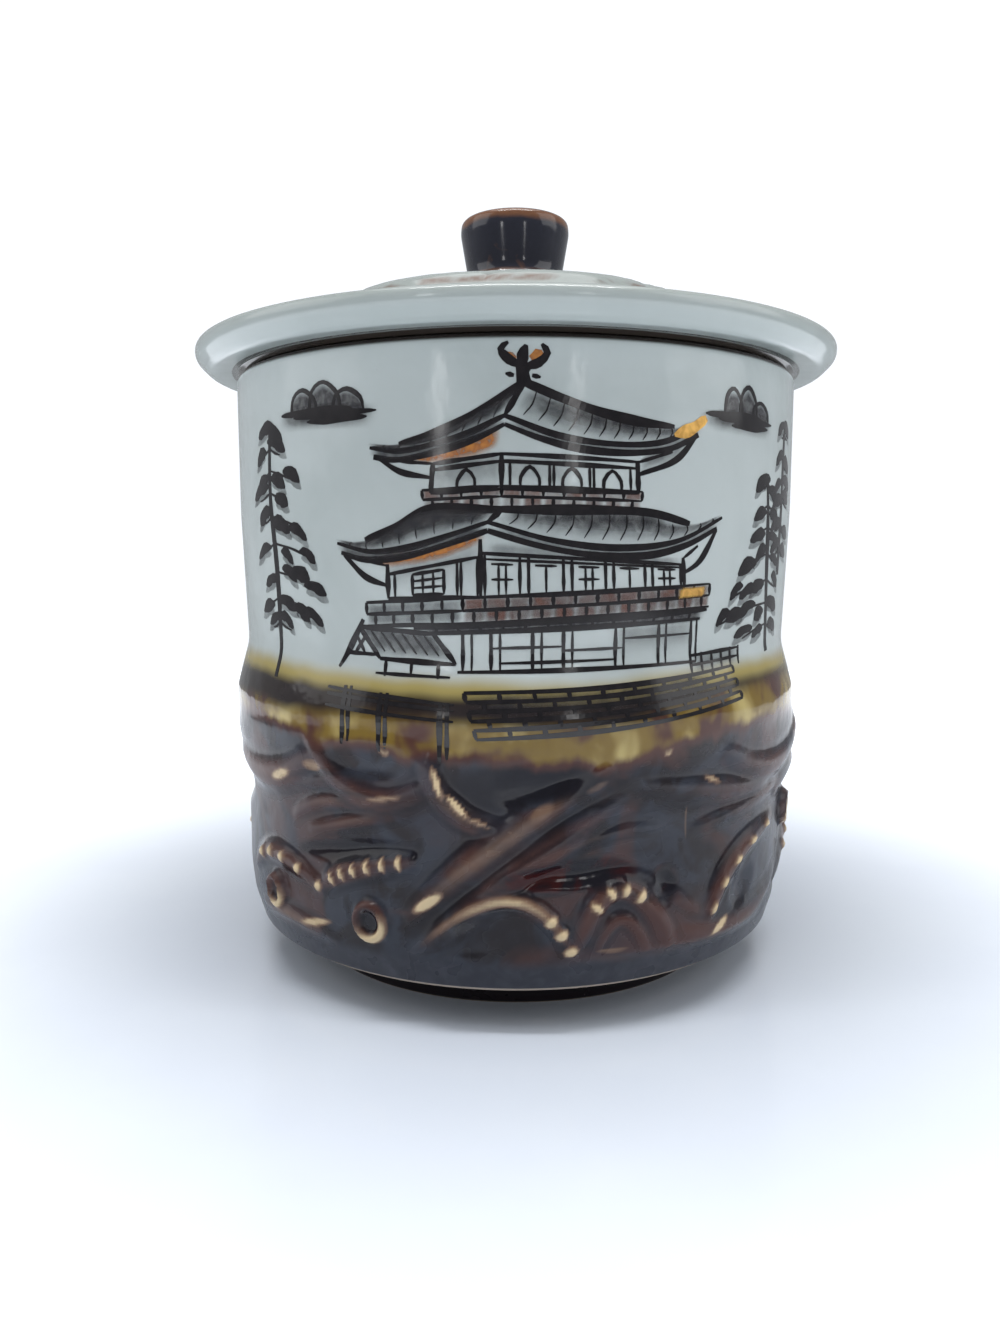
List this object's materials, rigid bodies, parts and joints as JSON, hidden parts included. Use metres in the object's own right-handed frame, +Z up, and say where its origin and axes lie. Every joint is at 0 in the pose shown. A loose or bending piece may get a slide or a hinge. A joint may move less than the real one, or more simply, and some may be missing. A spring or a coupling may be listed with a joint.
{
  "type": "lidded tea cup",
  "caption": "Straight-sided porcelain tea cup with a moulded relief round its lower wall, on a foot ring, under a loose domed lid with a mushroom-shaped knob.",
  "frame": {"origin": "centre of the foot ring's resting plane, on the cup's axis", "axes": "+Z up the cup towards the knob, -Y towards the front, where the scene is painted"},
  "size_m": [0.0866, 0.0866, 0.1002],
  "materials": {
    "cup_glaze": "pale celadon above, mottled dark brown over the relief, glossy",
    "lid_glaze": "pale celadon with a dark brown knob, glossy"
  },
  "bodies": {
    "root": {"cup": "cup_glaze", "lid": "lid_glaze"}
  },
  "joints": []
}
